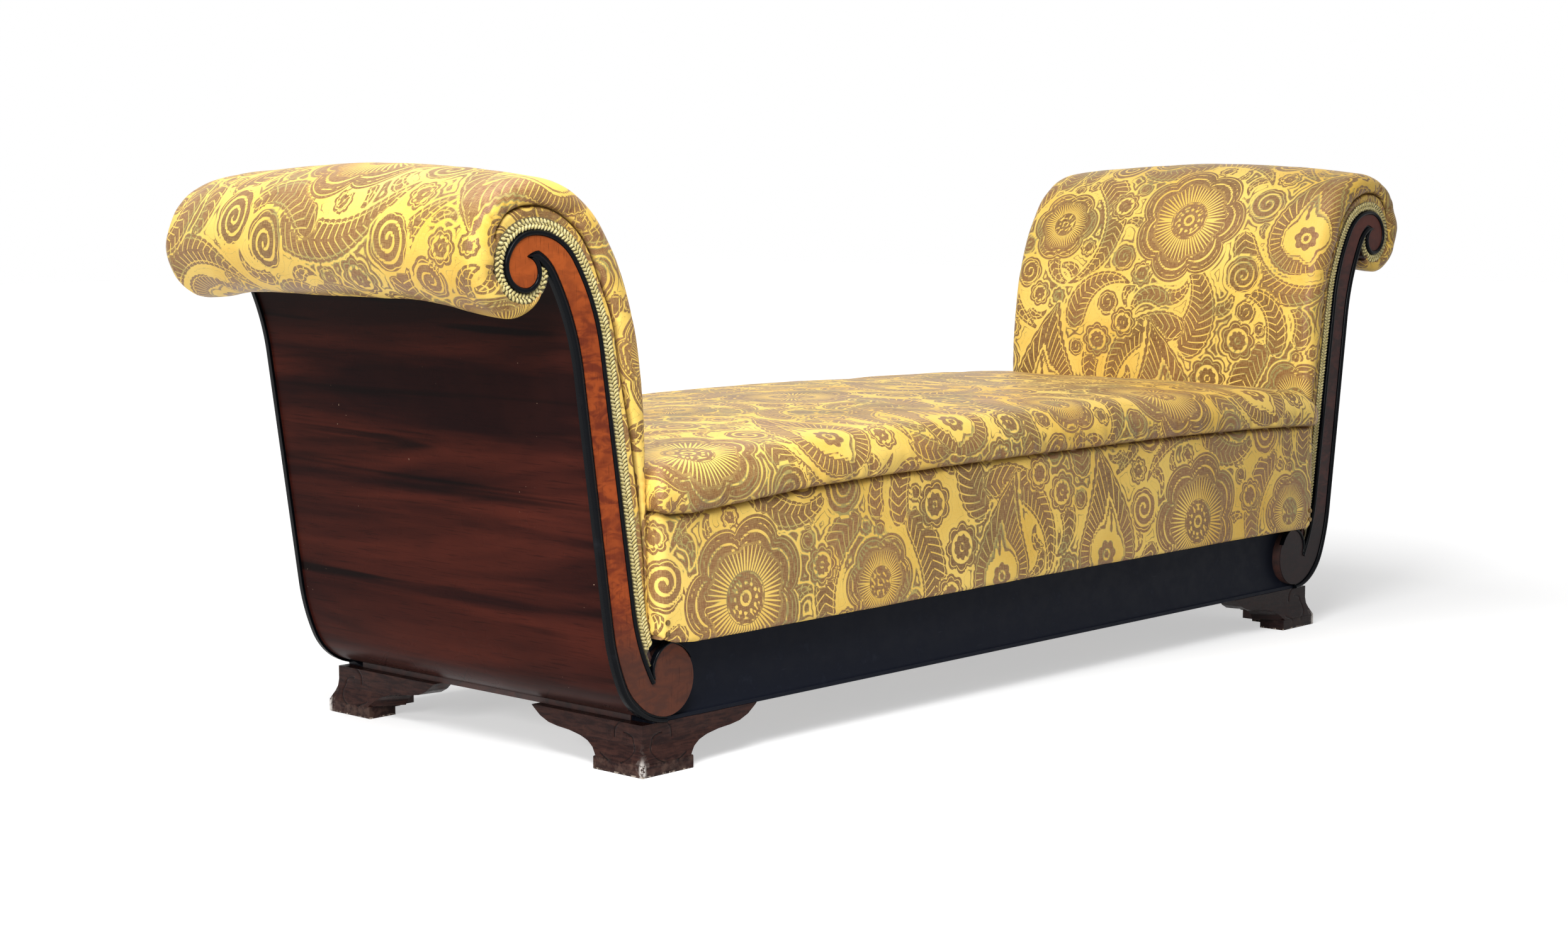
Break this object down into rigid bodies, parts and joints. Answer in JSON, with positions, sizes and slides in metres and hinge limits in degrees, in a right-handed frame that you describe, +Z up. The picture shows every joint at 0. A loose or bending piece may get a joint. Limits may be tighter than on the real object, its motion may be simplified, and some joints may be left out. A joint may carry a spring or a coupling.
{
  "type": "recamier",
  "caption": "Double-ended upholstered day bed with scrolled ends, polished mahogany panels, ebonised edges, bracket feet and a sprung seat that lifts out.",
  "frame": {"origin": "on the floor, under the middle of the piece", "axes": "+X along the length towards the right-hand end as seen from the front, -Y towards the front, +Z up"},
  "size_m": [2.3094, 0.74, 0.8413],
  "materials": {
    "mahogany": "glossy French polish, streaked dark grain",
    "flame_veneer": "polished flame-figured veneer",
    "ebonised_wood": "satin blue-black ebonised finish",
    "foot_wood": "worn dark polish",
    "beech": "unfinished inner frame timber",
    "gold_damask": "woven gold damask with mauve-brown figure",
    "gimp_cord": "woven pale olive and cream trimming",
    "jute": "plain jute webbing and hessian",
    "horsehair": "stuffing",
    "steel": "plain steel"
  },
  "bodies": {
    "frame": {"front_rail": "ebonised_wood", "back_rail": "ebonised_wood", "left_end_rail": "beech", "right_end_rail": "beech", "cross_stretchers": "beech", "corner_blocks": "beech", "front_left_foot": "foot_wood", "front_right_foot": "foot_wood", "back_left_foot": "foot_wood", "back_right_foot": "foot_wood", "foot_blocks": "beech", "foot_screws": "steel", "left_front_scroll_board": "mahogany", "left_back_scroll_board": "mahogany", "right_front_scroll_board": "mahogany", "right_back_scroll_board": "mahogany", "left_front_veneer": "flame_veneer", "left_back_veneer": "flame_veneer", "right_front_veneer": "flame_veneer", "right_back_veneer": "flame_veneer", "left_front_outer_bead": "ebonised_wood", "left_back_outer_bead": "ebonised_wood", "right_front_outer_bead": "ebonised_wood", "right_back_outer_bead": "ebonised_wood", "left_front_inner_bead": "ebonised_wood", "left_back_inner_bead": "ebonised_wood", "right_front_inner_bead": "ebonised_wood", "right_back_inner_bead": "ebonised_wood", "left_outer_panel": "mahogany", "right_outer_panel": "mahogany", "arm_roll_rails": "beech", "arm_mid_rails": "beech", "left_arm_webbing": "jute", "right_arm_webbing": "jute", "arm_hessians": "jute", "left_arm_stuffing": "horsehair", "right_arm_stuffing": "horsehair", "left_arm_cover": "gold_damask", "right_arm_cover": "gold_damask", "left_front_border": "gold_damask", "left_back_border": "gold_damask", "right_front_border": "gold_damask", "right_back_border": "gold_damask", "left_front_gimp": "gimp_cord", "left_back_gimp": "gimp_cord", "right_front_gimp": "gimp_cord", "right_back_gimp": "gimp_cord"},
    "seat": {"seat_long_rails": "beech", "seat_end_rails": "beech", "seat_cross_rails": "beech", "seat_webbing": "jute", "seat_springs": "steel", "seat_edge_roll": "horsehair", "seat_hessian": "jute", "seat_stuffing": "horsehair", "seat_cover": "gold_damask", "seat_front_border": "gold_damask", "seat_back_border": "gold_damask", "seat_end_borders": "gold_damask", "corner_tacks": "steel"}
  },
  "joints": [
    {"name": "seat_lift", "type": "slide", "parent": "frame", "child": "seat", "axis": [0, 0, 1], "range_m": [0, 0.3]}
  ]
}
